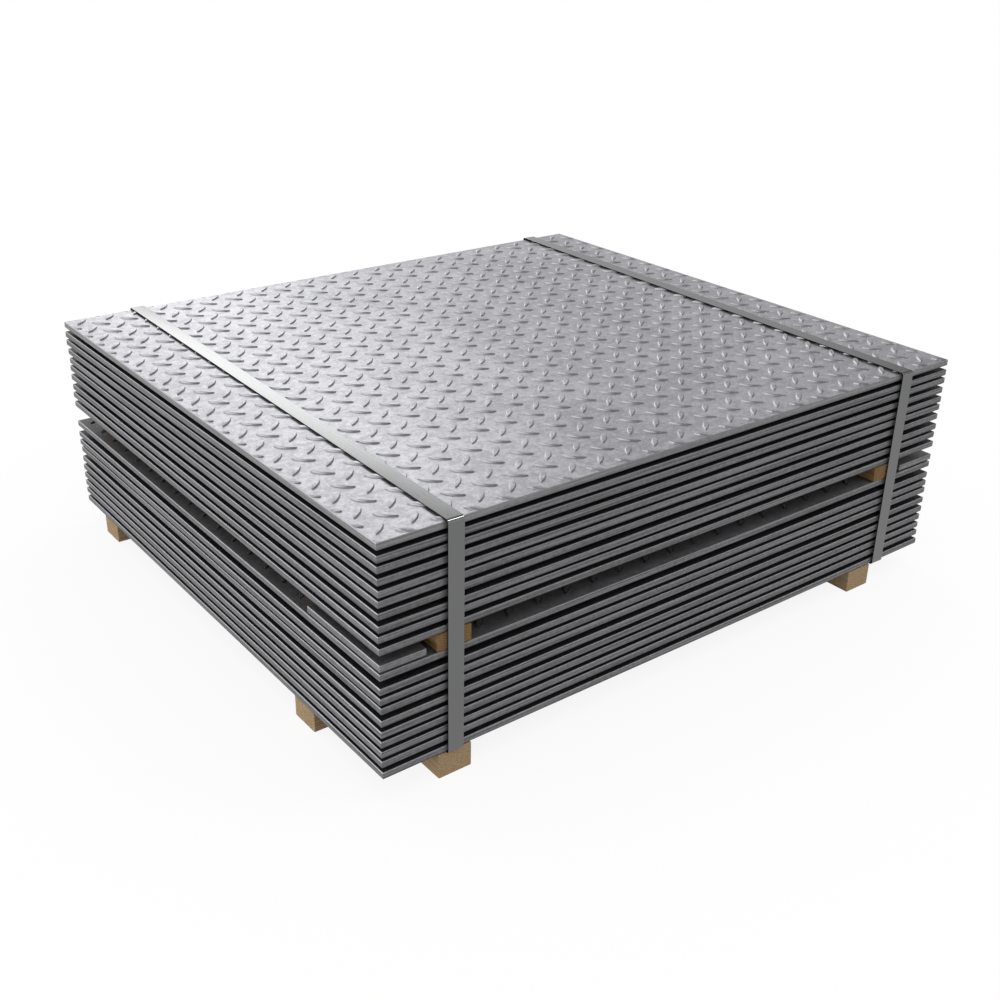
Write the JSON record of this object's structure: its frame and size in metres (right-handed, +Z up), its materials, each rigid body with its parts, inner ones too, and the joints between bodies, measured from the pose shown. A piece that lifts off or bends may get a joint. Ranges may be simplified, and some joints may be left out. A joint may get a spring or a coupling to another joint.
{
  "type": "strapped bundle of checker steel plates",
  "caption": "Square bundle of raised-lug checker steel plates in two packs, with timber spacers between them, lying on timber bearers and held by steel straps",
  "frame": {"origin": "on the floor, under the middle of the bundle", "axes": "+X along the front edge to the right, +Y from front to back, +Z up"},
  "size_m": [1, 0.9092, 0.347],
  "materials": {
    "plate_steel": "mill finish, hot rolled and oiled",
    "strap_steel": "smooth dull strapping",
    "timber": "rough sawn"
  },
  "bodies": {
    "root": {"plate_01": "plate_steel", "plate_02": "plate_steel", "plate_03": "plate_steel", "plate_04": "plate_steel", "plate_05": "plate_steel", "plate_06": "plate_steel", "plate_07": "plate_steel", "plate_08": "plate_steel", "plate_09": "plate_steel", "plate_10": "plate_steel", "plate_11": "plate_steel", "plate_12": "plate_steel", "plate_13": "plate_steel", "plate_14": "plate_steel", "plate_15": "plate_steel", "plate_16": "plate_steel", "plate_17": "plate_steel", "plate_18": "plate_steel", "plate_19": "plate_steel", "plate_20": "plate_steel", "shim_left": "plate_steel", "shim_right": "plate_steel", "strap_left": "strap_steel", "strap_right": "strap_steel", "seal_left": "strap_steel", "seal_right": "strap_steel", "bearer_left": "timber", "bearer_right": "timber", "spacer_left": "timber", "spacer_right": "timber", "chock_front_left": "timber", "chock_front_right": "timber", "chock_back_left": "timber", "chock_back_right": "timber", "packer_front_left": "timber", "packer_front_right": "timber", "packer_back_left": "timber", "packer_back_right": "timber"}
  },
  "joints": []
}
